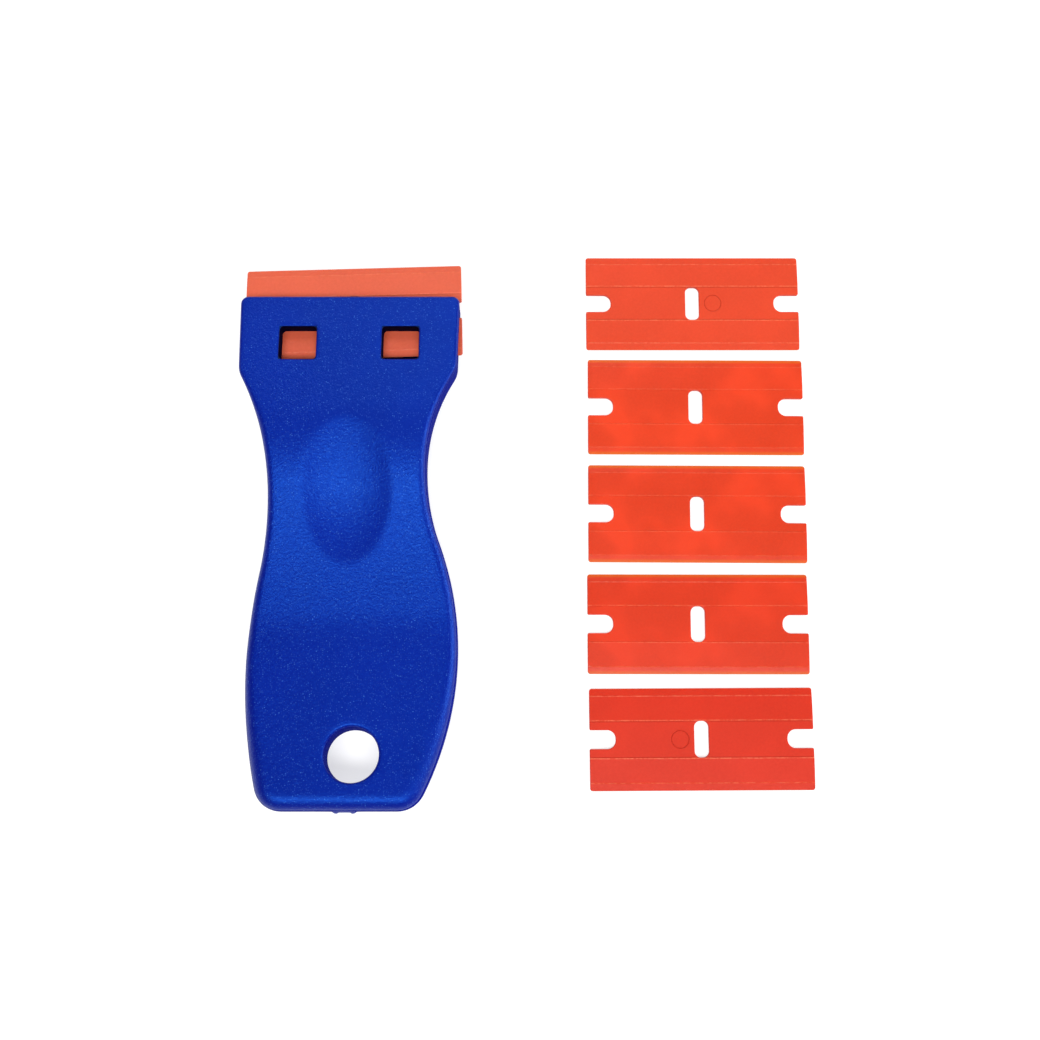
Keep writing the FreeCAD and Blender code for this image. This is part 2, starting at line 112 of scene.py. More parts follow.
def inward_normals(points):
    """The direction into a counter-clockwise outline at each of its points."""
    tangent = np.roll(points, -1, axis=0) - np.roll(points, 1, axis=0)
    tangent /= np.linalg.norm(tangent, axis=1)[:, None]
    return np.column_stack((-tangent[:, 1], tangent[:, 0]))


def inside(points, outline):
    """Which points lie inside a closed outline."""
    x, y = points[:, 0][:, None], points[:, 1][:, None]
    x1, y1 = outline[:, 0], outline[:, 1]
    x2, y2 = np.roll(x1, -1), np.roll(y1, -1)
    crosses = (y1 > y) != (y2 > y)
    with np.errstate(divide="ignore", invalid="ignore"):
        where = x1 + (y - y1) * (x2 - x1) / (y2 - y1)
    return (np.sum(crosses & (x < where), axis=1) % 2).astype(bool)


def nearest(points, others):
    """The distance from each point to the closest of the others."""
    gaps = [np.min(np.linalg.norm(others - point, axis=1)) for point in points]
    return np.array(gaps)


# ---------------------------------------------------------------- mesh building

def between_walls(verts, faces, walls, outline, holes):
    """Which triangles lie inside the outline and outside the holes.

    Triangles that no wall parts are one region, judged by its largest, as slivers can mislead."""
    across = {}
    for i, face in enumerate(faces):
        for a, b in zip(face, np.roll(face, -1)):
            across.setdefault(frozenset((int(a), int(b))), []).append(i)
    neighbours = [[] for _ in faces]
    for edge, pair in across.items():
        if edge not in walls and len(pair) == 2:
            neighbours[pair[0]].append(pair[1])
            neighbours[pair[1]].append(pair[0])
    corners = verts[faces]
    u, v = corners[:, 1] - corners[:, 0], corners[:, 2] - corners[:, 0]
    areas = np.abs(u[:, 0] * v[:, 1] - u[:, 1] * v[:, 0])
    middles = corners.mean(axis=1)
    wanted = inside(middles, outline)
    for hole in holes:
        wanted &= ~inside(middles, hole)
    keep = np.zeros(len(faces), bool)
    seen = np.zeros(len(faces), bool)
    for first in range(len(faces)):
        if seen[first]:
            continue
        region, queue = [], [first]
        seen[first] = True
        while queue:
            here = queue.pop()
            region.append(here)
            for other in neighbours[here]:
                if not seen[other]:
                    seen[other] = True
                    queue.append(other)
        keep[region] = wanted[region[int(np.argmax(areas[region]))]]
    return keep


class Shell:
    """A closed mesh made of rings of points, bands between them, and flat-laid patches."""

    def __init__(self):
        self.points = []
        self.faces = []

    def ring(self, points):
        """Adds a closed ring of (x, y, z) points and returns their numbers."""
        first = len(self.points)
        self.points.extend(tuple(point) for point in points)
        return np.arange(first, first + len(points))

    def band(self, lower, upper):
        """Joins two rings of the same count with quads that face out of a counter-clockwise ring."""
        for a, b, c, d in zip(lower, np.roll(lower, -1), np.roll(upper, -1), upper):
            self.faces.append((a, b, c, d))

    def bands(self, rings):
        for lower, upper in zip(rings, rings[1:]):
            self.band(lower, upper)

    def patch(self, outer, holes, height, spacing, facing_up, extra=()):
        """Fills the space between an outer ring and hole rings with a surface z = height(x, y).

        extra lists open lines of (x, y) points that the surface's edges must follow."""
        rings = [outer, *holes]
        known = np.array(self.points)
        flat = [known[ring][:, :2] for ring in rings]
        numbers = [int(i) for ring in rings for i in ring]
        coords = [tuple(p) for loop in flat for p in loop]
        edges = []
        start = 0
        for loop in flat:
            count = len(loop)
            edges += [(start + i, start + (i + 1) % count) for i in range(count)]
            start += count
        borders = np.vstack(flat)
        for line in extra:
            line = np.array(line)
            keep = inside(line, flat[0]) & (nearest(line, borders) > 0.35 * spacing)
            for hole in flat[1:]:
                keep &= ~inside(line, hole)
            runs = [i for i in range(len(line)) if keep[i]]
            base = len(coords)
            coords += [tuple(line[i]) for i in runs]
            numbers += [-1] * len(runs)
            edges += [(base + k, base + k + 1) for k in range(len(runs) - 1)
                      if runs[k + 1] == runs[k] + 1]
        fixed = np.array(coords)
        low, high = flat[0].min(axis=0), flat[0].max(axis=0)
        rows = np.arange(low[1], high[1], spacing * math.sqrt(0.75))
        grid = np.array([(x + (spacing / 2 if r % 2 else 0.0), y) for r, y in enumerate(rows)
                         for x in np.arange(low[0], high[0], spacing)])
        keep = inside(grid, flat[0])
        for hole in flat[1:]:
            keep &= ~inside(grid, hole)
        grid = grid[keep]
        grid = grid[nearest(grid, fixed) > 0.6 * spacing]
        coords += [tuple(p) for p in grid]
        numbers += [-1] * len(grid)

        verts, _, faces, origins, _, _ = geometry.delaunay_2d_cdt(
            [Vector(p) for p in coords], edges, [], 0, 1e-5)
        verts = np.array([(v.x, v.y) for v in verts])
        faces = np.array(faces)
        became = {source: i for i, sources in enumerate(origins) for source in sources}
        walls = {frozenset((became[a], became[b])) for a, b in edges[:start]}
        keep = between_walls(verts, faces, walls, flat[0], flat[1:])
        out = []
        for point, sources in zip(verts, origins):
            known_numbers = [numbers[i] for i in sources if numbers[i] >= 0]
            if known_numbers:
                out.append(known_numbers[0])
            else:
                out.append(len(self.points))
                self.points.append((point[0], point[1], float(height(point[0], point[1]))))
        for a, b, c in faces[keep]:
            self.faces.append((out[a], out[b], out[c]) if facing_up else (out[c], out[b], out[a]))

    def make(self, name, placement=Matrix.Identity(4)):
        """A Blender object from the points, moved by placement and measured in metres."""
        mesh = bpy.data.meshes.new(name)
        mesh.from_pydata([(x * MM, y * MM, z * MM) for x, y, z in self.points], [], self.faces)
        mesh.validate()
        work = bmesh.new()
        work.from_mesh(mesh)
        loose = [v for v in work.verts if not v.link_faces]
        bmesh.ops.delete(work, geom=loose, context="VERTS")
        bmesh.ops.recalc_face_normals(work, faces=work.faces)
        work.to_mesh(mesh)
        work.free()
        piece = bpy.data.objects.new(name, mesh)
        bpy.context.scene.collection.objects.link(piece)
        piece.matrix_world = placement
        return piece


def smooth(piece, angle=35.0):
    """Smooth shading, with edges over the angle left sharp."""
    piece.data.polygons.foreach_set("use_smooth", [True] * len(piece.data.polygons))
    piece.data.set_sharp_from_angle(angle=math.radians(angle))


def rounding(steps):
    """Pairs (in, down) of a quarter circle of radius one, from the flat face to the wall."""
    angles = np.linspace(0.0, math.pi / 2, steps + 1)
    return [(1.0 - math.sin(a), 1.0 - math.cos(a)) for a in angles]


# ---------------------------------------------------------------- handle

# The handle's outline and side profile are those of the CAD part.
SIDES = {
    "left": {"head": 19.15, "head_back": 18.8, "waist": 13.35, "waist_y": 19.2, "neck_r": 42.3,
             "waist_r": 66.9, "belly_y": -11.9, "belly_r": 78.2},
    "right": {"head": 19.55, "head_back": 19.2, "waist": 14.0, "waist_y": 22.7, "neck_r": 33.6,
              "waist_r": 35.6, "belly_y": -8.5, "belly_r": 55.2},
}
OUTLINE_STEP = 0.45
GATE_STEP = 0.12
FRONT_CORNER = 1.3
SHOULDER_ROUND = 4.5
TAIL_CORNER = 4.8
GATE_PROUD = 0.35
GATE_X = 1.0
GATE_WIDTH = 3.6
GATE_HEIGHT = 0.8
GATE_BAR = 0.45
GATE_LUMP_X = 1.5
GATE_LUMP_HALF = 0.42

# The side walls lean in below the parting line, which stands proud as a hair of flash.
DRAFT = 1.0
FLASH = 0.03
FLASH_HALF = 0.06
WALL_ROWS = 24

# Faces whose upright part of the normal is under this belong to the side walls.
STEEP = 0.35

# How fine the handle's mesh is: steps in its roundings, and the spacing of points on its faces.
RIM_STEPS = 7
HOLE_STEPS = 4
HOLE_SIDES = 72
WINDOW_STEP = 0.5
FLOOR_SPACING = 1.5
TOP_SPACING = 0.75
BOTTOM_SPACING = 0.9

HEAD_TILT = 6.5
HEAD_HEIGHT = 7.05
HOLE_MIDDLE = (2.05, -26.0, 5.0)
HOLE_RADIUS = 4.6
HOLE_TILT = 8.4
HOLE_ROUND = 0.6
BOTTOM_ROUND = 0.8
WINDOW_SIZE = (6.45, 6.05)
WINDOWS = ((-8.7, 45.2), (9.25, 45.2))
WINDOW_CORNER = 0.7
WINDOW_ROUND = 0.3
WINDOW_FLOOR = 4.55
SLOT_GAP = 1.2
SLOT_DEPTH = 11.9
SLOT_HEIGHT = 3.5
DIMPLE_MIDDLE = (0.4, 19.5)
DIMPLE_HALF = (7.8, 12.6)
DIMPLE_DEPTH = 1.3

handle_low, handle_high = [Vector(corner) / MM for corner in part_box("handle")]
FRONT_Y = handle_high.y
TAIL_Y = handle_low.y + GATE_PROUD

# The two faces along the handle are tangent arcs: (y of the centre, radius), negative where the
# arc is convex. The head is straight, at HEAD_TILT, and the belly is flat.
TOP_ARCS = ((22.4, 330.0), (-3.3, 36.0), (-7.8, 124.0), (30.0, -44.0))
BELLY_HALF = 3.0
UNDER_TAIL_RADIUS = 115.0
UNDER_NECK_RADIUS = 120.0
UNDER_BROW_RADIUS = 50.0


def top_knots():
    """(y, sine of the slope) where the arcs of the top face meet, from the tail to the front."""
    slope = [(TAIL_Y - TOP_ARCS[0][0]) / TOP_ARCS[0][1]]
    slope += [(b[0] - a[0]) / (a[1] - b[1]) for a, b in zip(TOP_ARCS, TOP_ARCS[1:])]
    knots = [(arc[0] + arc[1] * sine, sine) for arc, sine in zip(TOP_ARCS, slope)]
    tilt = math.sin(math.radians(HEAD_TILT))
    return knots + [(TOP_ARCS[-1][0] - TOP_ARCS[-1][1] * tilt, -tilt), (FRONT_Y, -tilt)]


def bottom_knots():
    """The same for the underside: tail, belly, neck, brow and head."""
    tilt = math.radians(HEAD_TILT)
    neck, brow = UNDER_NECK_RADIUS, UNDER_BROW_RADIUS
    reach = brow + neck * math.cos(tilt) - (FRONT_Y - BELLY_HALF) * math.sin(tilt)
    steepest = math.sin(math.acos(reach / (neck + brow)) - tilt)
    brow_end = BELLY_HALF + (neck + brow) * steepest + brow * math.sin(tilt)
    return [(TAIL_Y, (TAIL_Y + BELLY_HALF) / UNDER_TAIL_RADIUS), (-BELLY_HALF, 0.0),
            (BELLY_HALF, 0.0), (BELLY_HALF + neck * steepest, steepest),
            (brow_end, -math.sin(tilt)), (FRONT_Y, -math.sin(tilt))]


def profile(knots, anchor_y, anchor_z):
    """Height along y, from the slope at the knots and one known point."""
    y = np.arange(TAIL_Y - 1.0, FRONT_Y + 5.0, 0.01)
    places, sines = zip(*knots)
    sine = np.interp(y, places, sines)
    slope = sine / np.sqrt(1.0 - sine ** 2)
    z = np.concatenate(([0.0], np.cumsum(0.5 * (slope[1:] + slope[:-1]) * np.diff(y))))
    z += anchor_z - np.interp(anchor_y, y, z)
    return lambda at: np.interp(at, y, z)


top_line = profile(top_knots(), FRONT_Y, HEAD_HEIGHT)
bottom_line = profile(bottom_knots(), 0.0, 0.0)


# The rounding of the top edge, from the tail to the front.
ROUNDING_Y = (-35.0, -24.0, -10.0, 30.0, 38.0, 54.0)
ROUNDING_R = (2.9, 2.8, 1.8, 1.3, 0.6, 0.5)


def top_round(y):
    return np.interp(y, ROUNDING_Y, ROUNDING_R)


def dimple(x, y):
    """How far the thumb dimple lies under the handle's top."""
    across = (x - DIMPLE_MIDDLE[0]) / DIMPLE_HALF[0]
    along = (y - DIMPLE_MIDDLE[1]) / DIMPLE_HALF[1]
    room = 1.0 - across ** 2 - along ** 2
    soft = 0.08
    return DIMPLE_DEPTH * 0.5 * (room + np.sqrt(room ** 2 + soft ** 2))


def handle_top(x, y):
    return top_line(y) - dimple(x, y)


def handle_bottom(x, y):
    return bottom_line(y)


def side_line(side, y):
    """Half width of one side at y, from the belly through the waist to the shoulder."""
    waist_x = side["waist"] + side["waist_r"]
    reach = side["waist_r"] + side["belly_r"]
    belly_x = waist_x - math.sqrt(reach ** 2 - (side["waist_y"] - side["belly_y"]) ** 2)
    turn_y = side["waist_y"] + (side["belly_y"] - side["waist_y"]) * side["waist_r"] / reach
    neck = side["waist"] + side["neck_r"] - np.sqrt(
        np.maximum(side["neck_r"] ** 2 - (y - side["waist_y"]) ** 2, 0.0))
    waist = waist_x - np.sqrt(np.maximum(side["waist_r"] ** 2 - (y - side["waist_y"]) ** 2, 0.0))
    belly = belly_x + np.sqrt(np.maximum(side["belly_r"] ** 2 - (y - side["belly_y"]) ** 2, 0.0))
    return np.where(y > side["waist_y"], neck, np.where(y > turn_y, waist, belly))


def round_corner(before, after, radius, steps=10):
    """Rounds the convex corner where one fine line ends and the next begins."""
    tangent = np.gradient(before, axis=0)
    tangent /= np.linalg.norm(tangent, axis=1)[:, None]
    centres = before + radius * np.column_stack((-tangent[:, 1], tangent[:, 0]))
    for i in range(len(before) - 1, 0, -1):
        gaps = np.linalg.norm(after - centres[i], axis=1)
        if gaps.min() >= radius:
            break
    k = int(gaps.argmin())
    start, end = before[i] - centres[i], after[k] - centres[i]
    turn = math.atan2(start[0] * end[1] - start[1] * end[0], start @ end)
    arc = []
    for step in range(1, steps):
        c, s = math.cos(turn * step / steps), math.sin(turn * step / steps)
        arc.append(centres[i] + (c * start[0] - s * start[1], s * start[0] + c * start[1]))
    return before[:i + 1], np.array(arc), after[k:]


def handle_outline():
    """The handle's outline from above, counter-clockwise, with rounded corners."""
    fine = 0.02

    def straight(a, b):
        count = int(np.linalg.norm(np.subtract(b, a)) / fine) + 2
        return np.linspace(a, b, count)

    def side(sizes, sign):
        y = np.arange(TAIL_Y, FRONT_Y, fine)
        x = side_line(sizes, y)
        last = int(np.argmax((x >= sizes["head_back"]) & (y > sizes["waist_y"])))
        curve = np.column_stack((sign * x[:last], y[:last]))
        return curve, straight(curve[-1], (sign * sizes["head"], FRONT_Y))

    right_curve, right_head = side(SIDES["right"], 1.0)
    left_curve, left_head = side(SIDES["left"], -1.0)
    left_curve, left_head = left_curve[::-1], left_head[::-1]
    front = straight(right_head[-1], left_head[0])
    tail = straight(left_curve[-1], right_curve[0])
    lines = [right_curve, right_head, front, left_head, left_curve, tail]
    radii = [SHOULDER_ROUND, FRONT_CORNER, FRONT_CORNER, SHOULDER_ROUND, TAIL_CORNER, TAIL_CORNER]
    arcs = []
    for i, radius in enumerate(radii):
        following = (i + 1) % len(lines)
        lines[i], arc, lines[following] = round_corner(lines[i], lines[following], radius)
        arcs.append(arc)
    whole = np.vstack([np.vstack((line, arc)) for line, arc in zip(lines, arcs)])
    return resample(whole, lambda at: np.where(near_gate(*at.T), GATE_STEP, OUTLINE_STEP))


def near_gate(x, y):
    return (np.abs(x - GATE_X) < GATE_WIDTH) & (y < TAIL_Y + 1.0)


def gate_mark(x, y, z):
    """How far the torn stub of the runner stands proud of the tail: two lumps on a low bar."""
    level = (z - parting_height(y)) / (GATE_HEIGHT / 2)
    bar = GATE_BAR / (1.0 + (np.abs(x - GATE_X) / (GATE_WIDTH / 2)) ** 8 + level ** 6)
    lumps = sum(np.exp(-((x - GATE_X - side * GATE_LUMP_X) / GATE_LUMP_HALF) ** 4 - (level / 0.9) ** 4)
                for side in (-1.0, 1.0))
    return GATE_PROUD * np.minimum(bar + (1.0 - GATE_BAR) * lumps, 1.0) * near_gate(x, y)


def parting_height(y):
    """The height of the mould's parting line, where the top's rounding ends."""
    return top_line(y) - top_round(y)


def wall_and_rims(shell, outline):
    """Rings up the outside, from the rim of the underside to the rim of the top."""
    normals = inward_normals(outline)
    x, y = outline.T
    low = bottom_line(y) + BOTTOM_ROUND
    rolled = top_round(y)
    high = handle_top(x, y) - rolled
    lean = math.tan(math.radians(DRAFT))

    def outer_ring(inset, z_of):
        flat = outline + normals * inset[:, None]
        return shell.ring(np.column_stack((flat, z_of(*flat.T))))

    rings = []
    for into, down in rounding(RIM_STEPS):
        rings.append(outer_ring(FLASH + lean * (high - low) + BOTTOM_ROUND * into,
                                lambda px, py: handle_bottom(px, py) + BOTTOM_ROUND * down))
    for part in np.linspace(0.0, 1.0, WALL_ROWS + 1)[1:]:
        z = low + (high - FLASH_HALF - low) * part
        rings.append(outer_ring(FLASH + lean * (high - z) - gate_mark(x, y, z), lambda px, py: z))
    rings.append(outer_ring(-gate_mark(x, y, high), lambda px, py: high))
    for into, down in rounding(RIM_STEPS)[::-1]:
        z = high + FLASH_HALF if into == 0.0 else high
        rings.append(outer_ring(FLASH + rolled * into - gate_mark(x, y, z) * (into == 0.0),
                                lambda px, py: np.maximum(handle_top(px, py) - rolled * down, z)))
    return rings


def bore_rings(shell, face, up):
    """Rings from the face down into the hanging hole, at the end that up (1 or -1) names."""
    lean = math.radians(HOLE_TILT)
    axis = np.array([0.0, math.sin(lean), math.cos(lean)])
    cross = np.array([0.0, math.cos(lean), -math.sin(lean)])
    middle = np.array(HOLE_MIDDLE)
    angles = np.linspace(0.0, 2 * math.pi, HOLE_SIDES, endpoint=False)
    radial = [np.array([math.cos(a), 0.0, 0.0]) + math.sin(a) * cross for a in angles]
    out = []
    for k, (into, down) in enumerate(rounding(HOLE_STEPS)):
        points = []
        for direction in radial:
            rim = middle + HOLE_RADIUS * direction
            reach = up * 3.0
            for _ in range(8):
                here = rim + axis * reach
                reach += (face(here[0], here[1]) - here[2]) / axis[2]
            corner = rim + axis * reach
            point = corner + HOLE_ROUND * (direction * into - axis * up * down)
            if k == 0:
                point[2] = face(point[0], point[1])
            points.append(point)
        out.append(shell.ring(points))
    return out


def window_rings(shell, x, y):
    """Rings from a window's rolled rim down its walls to its floor, which the slot opens."""
    w, h = WINDOW_SIZE[0] / 2, WINDOW_SIZE[1] / 2
    corners = [(x - w, y - h), (x + w, y - h), (x + w, y + h), (x - w, y + h)]
    window = divide(round_polygon([(*corner, WINDOW_CORNER) for corner in corners]), WINDOW_STEP)
    outward = -inward_normals(window)
    out = []
    for into, down in rounding(HOLE_STEPS):
        flat = window + outward * WINDOW_ROUND * into
        out.append(shell.ring([(px, py, handle_top(px, py) - WINDOW_ROUND * down)
                               for px, py in flat]))
    for part in (0.5, 1.0):
        out.append(shell.ring([
            (px, py, (handle_top(px, py) - WINDOW_ROUND) * (1 - part) + WINDOW_FLOOR * part)
            for px, py in window]))
    return out


def make_handle():
    """The moulding as one closed mesh: two faces, rounded edges, the hole, windows and slot."""
    shell = Shell()
    outside = wall_and_rims(shell, handle_outline())
    shell.bands(outside)
    top_bore = bore_rings(shell, handle_top, 1.0)
    bottom_bore = bore_rings(shell, handle_bottom, -1.0)
    shell.bands(top_bore + bottom_bore[::-1])
    window_tops = []
    for x, y in WINDOWS:
        window = window_rings(shell, x, y)
        shell.bands(window)
        shell.patch(window[-1], [], lambda px, py: WINDOW_FLOOR, FLOOR_SPACING, True)
        window_tops.append(window[0])
    shell.patch(outside[-1], [top_bore[0], *window_tops], handle_top, TOP_SPACING, True)
    shell.patch(outside[0], [bottom_bore[0]], handle_bottom, BOTTOM_SPACING, False)
    handle = shell.make("handle_moulding")

    cutter = slot_cutter()
    cut = handle.modifiers.new("slot", "BOOLEAN")
    cut.operation = "DIFFERENCE"
    cut.solver = "EXACT"
    cut.object = cutter
    apply_modifiers(handle)
    bpy.data.objects.remove(cutter)
    smooth(handle)
    return handle


def apply_modifiers(piece):
    """Makes what the piece's modifiers give its own mesh."""
    shown = piece.evaluated_get(bpy.context.evaluated_depsgraph_get())
    mesh = bpy.data.meshes.new_from_object(shown)
    piece.modifiers.clear()
    piece.data = mesh


def slot_cutter():
    """A block in the shape of the blade slot, which runs out past the head's front and sides."""
    half = SLOT_GAP / 2
    front, side = 4.0, 3.0
    width = SIDES["right"]["head"] + side
    mesh = bpy.data.meshes.new("slot_cutter")
    work = bmesh.new()
    section = [(-SLOT_DEPTH, -half), (front, -half), (front, half), (-SLOT_DEPTH, half)]
    ends = [[work.verts.new((sign * width * MM, y * MM, z * MM)) for y, z in section]
            for sign in (-1.0, 1.0)]
    work.faces.new(ends[0])
    work.faces.new(ends[1][::-1])
    for i in range(len(section)):
        k = (i + 1) % len(section)
        work.faces.new((ends[0][i], ends[1][i], ends[1][k], ends[0][k]))
    bmesh.ops.recalc_face_normals(work, faces=work.faces)
    work.to_mesh(mesh)
    work.free()
    cutter = bpy.data.objects.new("slot_cutter", mesh)
    bpy.context.scene.collection.objects.link(cutter)
    cutter.matrix_world = (Matrix.Translation(Vector((0.0, FRONT_Y, SLOT_HEIGHT)) * MM)
                           @ Matrix.Rotation(-math.radians(HEAD_TILT), 4, "X"))
    bpy.context.view_layer.update()
    return cutter


# ---------------------------------------------------------------- blades

BLADE_WIDTH = 38.6
BLADE_HEIGHT = 17.4
BAND_HALF = 3.1
EDGE_BEVEL = 1.3
NOTCH_DEPTH = 4.5
NOTCH_HALF = 1.6
NOTCH_MOUTH = 0.25
NOTCH_ROUND = 1.45
EYE_HALF = (1.25, 3.1)
EYE_ROUND = 1.05
BLADE_CORNER = 0.45
RING_MIDDLE = (3.7, 0.0)
RING_RADIUS = 1.5
RING_GROOVE = 0.09
RING_SIDES = 48
BLADE_ROUND = 0.12
BLADE_SPACING = 0.8
OPENING_STEP = 0.5
EDGE_STEP = 0.6

# Half thickness of a blade from its middle to its edge: a sunk band, its bead, the bevel, the lip.
BLADE_STEPS = ((0.0, 0.42), (BAND_HALF - 0.05, 0.42), (BAND_HALF + 0.03, 0.5),
               (BAND_HALF + 0.25, 0.485), (BLADE_HEIGHT / 2 - EDGE_BEVEL - 0.10, 0.29),
               (BLADE_HEIGHT / 2 - EDGE_BEVEL, 0.31), (BLADE_HEIGHT / 2 - EDGE_BEVEL + 0.10, 0.26),
               (BLADE_HEIGHT / 2, 0.08))
CREASES = [step[0] for step in BLADE_STEPS[1:-1]]

# The ring mark's radii, from its shallow disc down into the groove and out again.
RING_RADII = [RING_RADIUS + RING_GROOVE * step for step in (-1.0, -0.4, 0.4, 1.0)]
RING_DEPTHS = (0.02, 0.08, 0.08, 0.0)


def blade_half(y):
    """Half the thickness of a blade at a height on it."""
    heights, halves = zip(*BLADE_STEPS)
    return np.interp(np.abs(y), heights, halves)


def blade_top(x, y):
    """The marked face: the ejector pin left a ring and a shallow disc."""
    away = np.hypot(x - RING_MIDDLE[0], y - RING_MIDDLE[1])
    return blade_half(y) - np.interp(away, RING_RADII, RING_DEPTHS)


def blade_bottom(x, y):
    return -blade_half(y)


def blade_outline():
    """A blade's outline from above, counter-clockwise, with a notch in each end."""
    w, h, d, n = BLADE_WIDTH / 2, BLADE_HEIGHT / 2, NOTCH_DEPTH, NOTCH_HALF
    corner, mouth, deep = BLADE_CORNER, NOTCH_MOUTH, NOTCH_ROUND
    return divide(round_polygon([
        (-w, -h, corner), (w, -h, corner), (w, -n, mouth), (w - d, -n, deep), (w - d, n, deep),
        (w, n, mouth), (w, h, corner), (-w, h, corner), (-w, n, mouth), (-w + d, n, deep),
        (-w + d, -n, deep), (-w, -n, mouth)]), EDGE_STEP)


def blade_eye():
    """The opening in a blade's middle, counter-clockwise."""
    w, h = EYE_HALF
    corners = [(-w, -h), (w, -h), (w, h), (-w, h)]
    return divide(round_polygon([(*corner, EYE_ROUND) for corner in corners]), OPENING_STEP)


def make_blade(name, placement):
    """One blade about its own middle: bevelled faces, side notches, the eye and the ring mark."""
    shell = Shell()
    outline = blade_outline()
    eye = blade_eye()

    def rim_rings(loop, normals):
        """Rings from the lower face round the rim to the upper face."""
        out = []
        for face, sign in ((blade_bottom, -1.0), (blade_top, 1.0)):
            half = []
            for into, down in rounding(3):
                points = []
                for (x, y), normal in zip(loop, normals):
                    radius = min(BLADE_ROUND, 0.6 * blade_half(y))
                    px, py = np.array([x, y]) + normal * radius * into
                    points.append((px, py, face(px, py) - sign * radius * down))
                half.append(shell.ring(points))
            out += half if sign < 0 else half[::-1]
        return out

    outer = rim_rings(outline, inward_normals(outline))
    around_eye = rim_rings(eye, -inward_normals(eye))
    shell.bands(outer)
    shell.bands(around_eye)

    across = np.arange(-BLADE_WIDTH / 2, BLADE_WIDTH / 2, EDGE_STEP)
    creases = [[(x, sign * y) for x in across] for y in CREASES for sign in (-1.0, 1.0)]
    angles = np.linspace(0.0, 2 * math.pi, RING_SIDES + 1)
    rings = [[(RING_MIDDLE[0] + r * math.cos(a), RING_MIDDLE[1] + r * math.sin(a)) for a in angles]
             for r in RING_RADII]
    shell.patch(outer[-1], [around_eye[-1]], blade_top, BLADE_SPACING, True, creases + rings)
    shell.patch(outer[0], [around_eye[0]], blade_bottom, BLADE_SPACING, False, creases)
    blade = shell.make(name, placement)
    smooth(blade, 12.0)
    return blade


# How each spare blade lies: its turn in degrees, and whether its marked face is up.
SPARES = ((0.0, True), (-0.25, False), (-0.3, False), (-0.1, False), (180.3, True))
FITTED_SKEW = 1.7


def middle_of(node):
    """The middle of a CAD node's box."""
    low, high = [Vector(corner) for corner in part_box(node)]
    return (low + high) / 2


def make_blades():
    """The fitted blade and the spares, each where its CAD node is."""
    lean = Matrix.Rotation(-math.radians(HEAD_TILT), 4, "X")
    skew = Matrix.Rotation(math.radians(FITTED_SKEW), 4, "Z")
    blades = {"fitted_blade": make_blade("fitted_blade_moulding",
                                         Matrix.Translation(middle_of("fitted_blade")) @ lean @ skew)}
    for number, (turn, marked_up) in enumerate(SPARES, start=1):
        node = f"spare_blade_{number}"
        spin = Matrix.Rotation(math.radians(turn), 4, "Z")
        flip = Matrix.Rotation(0.0 if marked_up else math.pi, 4, "Y")
        blades[node] = make_blade(f"{node}_moulding",
                                  Matrix.Translation(middle_of(node)) @ spin @ flip)
    return blades


# ---------------------------------------------------------------- materials

